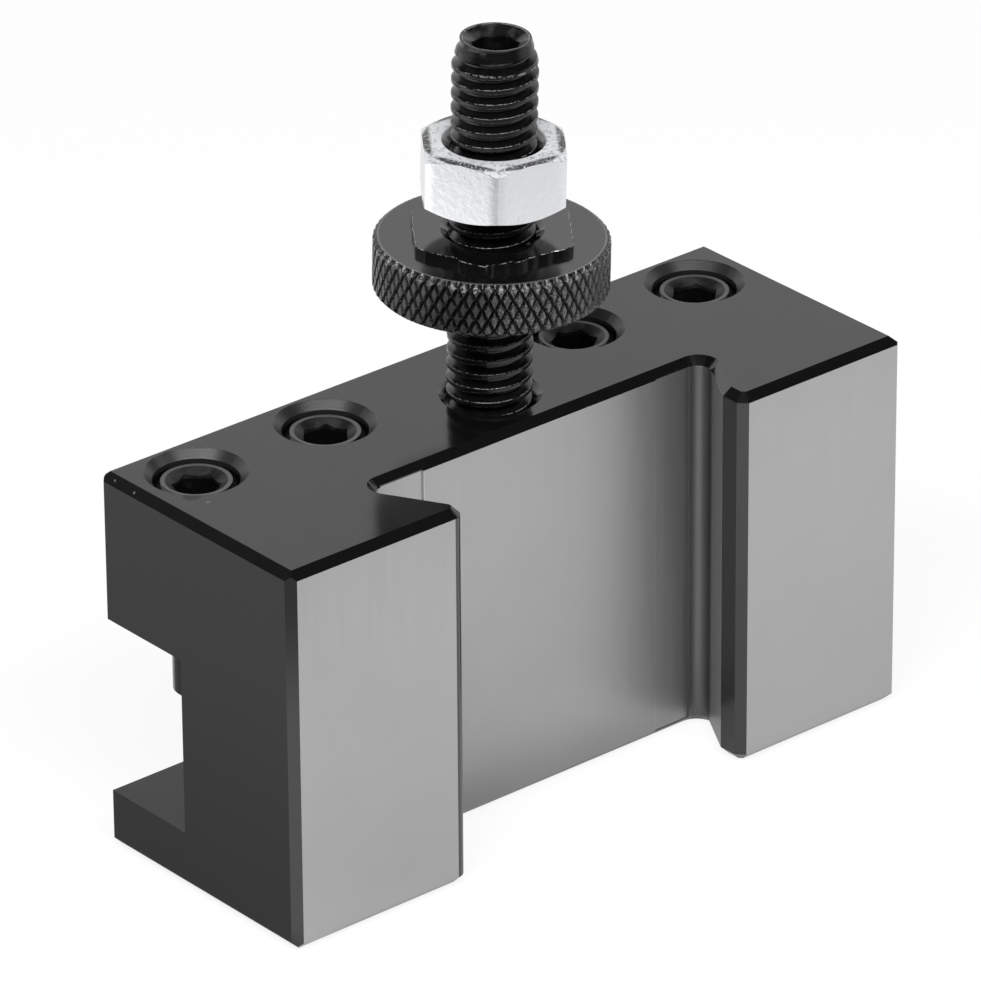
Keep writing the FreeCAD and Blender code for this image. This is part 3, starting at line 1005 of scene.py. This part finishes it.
# The floor, white where it is seen, and a hair below the part
FLOOR_HALF = 1.5
FLOOR_BELOW = 0.00005
FLOOR_GREY = 0.8
FLOOR_WHITE = 1.08
FLOOR_GLOW_SHARE = 0.8
REFLECTED_SHARE = 0.75

# The floor in reflections: darker beside the left end, in front of the block, under the
# dovetail and towards the dark room behind the camera, and lighter far to the left
REFLECTED_LEVEL = 1.2
FAR_LEFT = (-108.0, -98.0)
FAR_LEFT_ADDED = 0.4
LEFT_ZONE_START = (-104.0, -90.0)
LEFT_ZONE_END = (-37.0, -34.0)
LEFT_ZONE_FRONT = (-16.0, -11.0)
LEFT_ZONE_INNER = (-75.0, -40.0)
LEFT_ZONE_TAKEN = 0.84
LEFT_ZONE_INNER_TAKEN = 0.16
FAR_FRONT = (-106.0, -80.0)
FAR_FRONT_TAKEN = 0.5
NEAR_FRONT = (-72.0, -18.0)
NEAR_FRONT_TAKEN = 0.25
UNDER_DOVETAIL = (-6.0, 10.0)
UNDER_DOVETAIL_SOFT = 11.0
UNDER_DOVETAIL_START = (-34.0, -28.0)
UNDER_DOVETAIL_TAKEN = 0.45
CAMERA_SIDE = (74.0, 100.0)
CAMERA_SIDE_TAKEN = 0.88

# Strip lamps in an arc above the camera's side
LAMP_TURNS = (-34.0, 0.0, 34.0)
LAMP_ELEVATION = 48.0
LAMP_DISTANCE = 0.6
LAMP_WIDTH = 0.36
LAMP_HEIGHT = 0.1
LAMP_WATTS = 1.25
LAMP_TARGET = (0.0, 0.0, 0.04)


def towards(azimuth, elevation):
    """The direction of something seen at an azimuth on the camera's side and at an elevation."""
    turn = math.radians(azimuth)
    rise = math.radians(elevation)
    return Vector((-math.sin(turn) * math.cos(rise), -math.cos(turn) * math.cos(rise), math.sin(rise)))


def towards_camera(finish):
    """How far a place or a direction is on the camera's side."""
    facing = towards(CAMERA_AZIMUTH, 0.0)
    return finish.x * facing.x + finish.y * facing.y


def floor_in_reflections(finish):
    """How bright the floor is in reflections, by its zones."""
    x, y = finish.x, finish.y
    beside_end = x.rise(*LEFT_ZONE_START) * x.fall(*LEFT_ZONE_END) * y.rise(*LEFT_ZONE_FRONT)
    end_dim = beside_end * (LEFT_ZONE_TAKEN + LEFT_ZONE_INNER_TAKEN * x.rise(*LEFT_ZONE_INNER))
    near_front = y.rise(*NEAR_FRONT) * x.rise(*LEFT_ZONE_END)
    under_dovetail = y.within(*UNDER_DOVETAIL, UNDER_DOVETAIL_SOFT) * x.rise(*UNDER_DOVETAIL_START)
    level = REFLECTED_LEVEL + FAR_LEFT_ADDED * x.fall(*FAR_LEFT) - end_dim
    level = level - FAR_FRONT_TAKEN * y.fall(*FAR_FRONT) - NEAR_FRONT_TAKEN * near_front
    level = level - UNDER_DOVETAIL_TAKEN * under_dovetail
    return level * (1 - CAMERA_SIDE_TAKEN * towards_camera(finish).rise(*CAMERA_SIDE))


def floor():
    """A plane that is white to the camera and has its own levels in reflections."""
    work = bmesh.new()
    bmesh.ops.create_grid(work, x_segments=1, y_segments=1, size=FLOOR_HALF)
    bmesh.ops.translate(work, vec=(0, 0, -FLOOR_BELOW), verts=work.verts[:])
    mesh = mesh_of(work, "floor")
    plane = placed("floor", mesh)

    finish = new_finish("pale_floor")
    seen = finish.ray("Is Camera Ray").most(finish.ray("Is Transmission Ray"))
    mirrored = finish.ray("Is Glossy Ray")
    matt = finish.node("ShaderNodeBsdfDiffuse", {}, {"Color": grey(FLOOR_GREY)}).outputs[0]
    strength = seen * FLOOR_WHITE + mirrored * floor_in_reflections(finish)
    glow = finish.node("ShaderNodeEmission", {}, {"Strength": strength}).outputs[0]
    share = seen * FLOOR_GLOW_SHARE + mirrored * REFLECTED_SHARE
    mesh.materials.append(finish.show(finish.blend(share, matt, glow)))


def world_light():
    """White to the camera, even light on matt faces, and the room's levels in reflections."""
    world = bpy.data.worlds.new("studio")
    bpy.context.scene.world = world
    finish = Finish(world, "Generated", 1.0)
    bottom = math.sin(math.radians(BACKDROP_TOP))
    ceiling = math.sin(math.radians(CEILING_START))
    mirrored = finish.ray("Is Glossy Ray")
    seen = finish.ray("Is Camera Ray").most(finish.ray("Is Transmission Ray"))
    behind_camera = towards_camera(finish).rise(*BEHIND_CAMERA)
    backdrop = 1 - (1 - CEILING_LEVEL) * finish.z.rise(bottom, ceiling)
    backdrop = backdrop * (1 - (1 - BEHIND_CAMERA_LEVEL) * behind_camera) * BACKDROP_LEVEL
    strength = seen + mirrored * backdrop + (1 - seen.most(mirrored)) * EVEN_LIGHT
    light = finish.node("ShaderNodeBackground", {}, {"Color": grey(1.0), "Strength": strength})
    finish.show(light.outputs[0], "ShaderNodeOutputWorld")


def strip_lamp(name, turn):
    """A lamp that faces its target from an azimuth beside the camera's."""
    data = bpy.data.lights.new(name, "AREA")
    data.shape = "RECTANGLE"
    data.size = LAMP_WIDTH
    data.size_y = LAMP_HEIGHT
    data.energy = LAMP_WATTS
    made = placed(name, data)
    back = towards(CAMERA_AZIMUTH + turn, LAMP_ELEVATION)
    made.location = Vector(LAMP_TARGET) + back * LAMP_DISTANCE
    made.rotation_mode = "QUATERNION"
    made.rotation_quaternion = (-back).to_track_quat("-Z", "Y")


def camera():
    """The camera of the photograph, with its slight roll."""
    back = towards(CAMERA_AZIMUTH, CAMERA_ELEVATION)
    azimuth = math.radians(CAMERA_AZIMUTH)
    roll = math.radians(CAMERA_ROLL)
    level = Vector((math.cos(azimuth), -math.sin(azimuth), 0))
    upright = back.cross(level)
    right = math.cos(roll) * level + math.sin(roll) * upright
    up = math.cos(roll) * upright - math.sin(roll) * level
    data = bpy.data.cameras.new("camera")
    data.sensor_width = SENSOR_WIDTH
    data.lens = LENS
    data.clip_start = NEAREST_SEEN
    data.clip_end = FARTHEST_SEEN
    made = placed("camera", data)
    made.rotation_mode = "QUATERNION"
    made.rotation_quaternion = Matrix((right, up, back)).transposed().to_quaternion()
    made.location = (Vector(CAMERA_TARGET) + back * CAMERA_DISTANCE) * MM
    bpy.context.scene.camera = made


def main():
    screw_black = screw_finish()
    for number in range(1, 5):
        clamping_screw(f"set_screw_{number}", number, screw_black)
    height_stud(stud_finish())
    height_wheel(wheel_finish())
    lock_nut(nut_finish())
    block_materials = frame["nodes"]["holder_block"].data.materials
    block_materials.clear()
    block_materials.append(block_finish())

    floor()
    world_light()
    for number, turn in enumerate(LAMP_TURNS, start=1):
        strip_lamp(f"strip_lamp_{number}", turn)
    camera()
    bpy.context.scene.view_settings.view_transform = "Standard"


main()
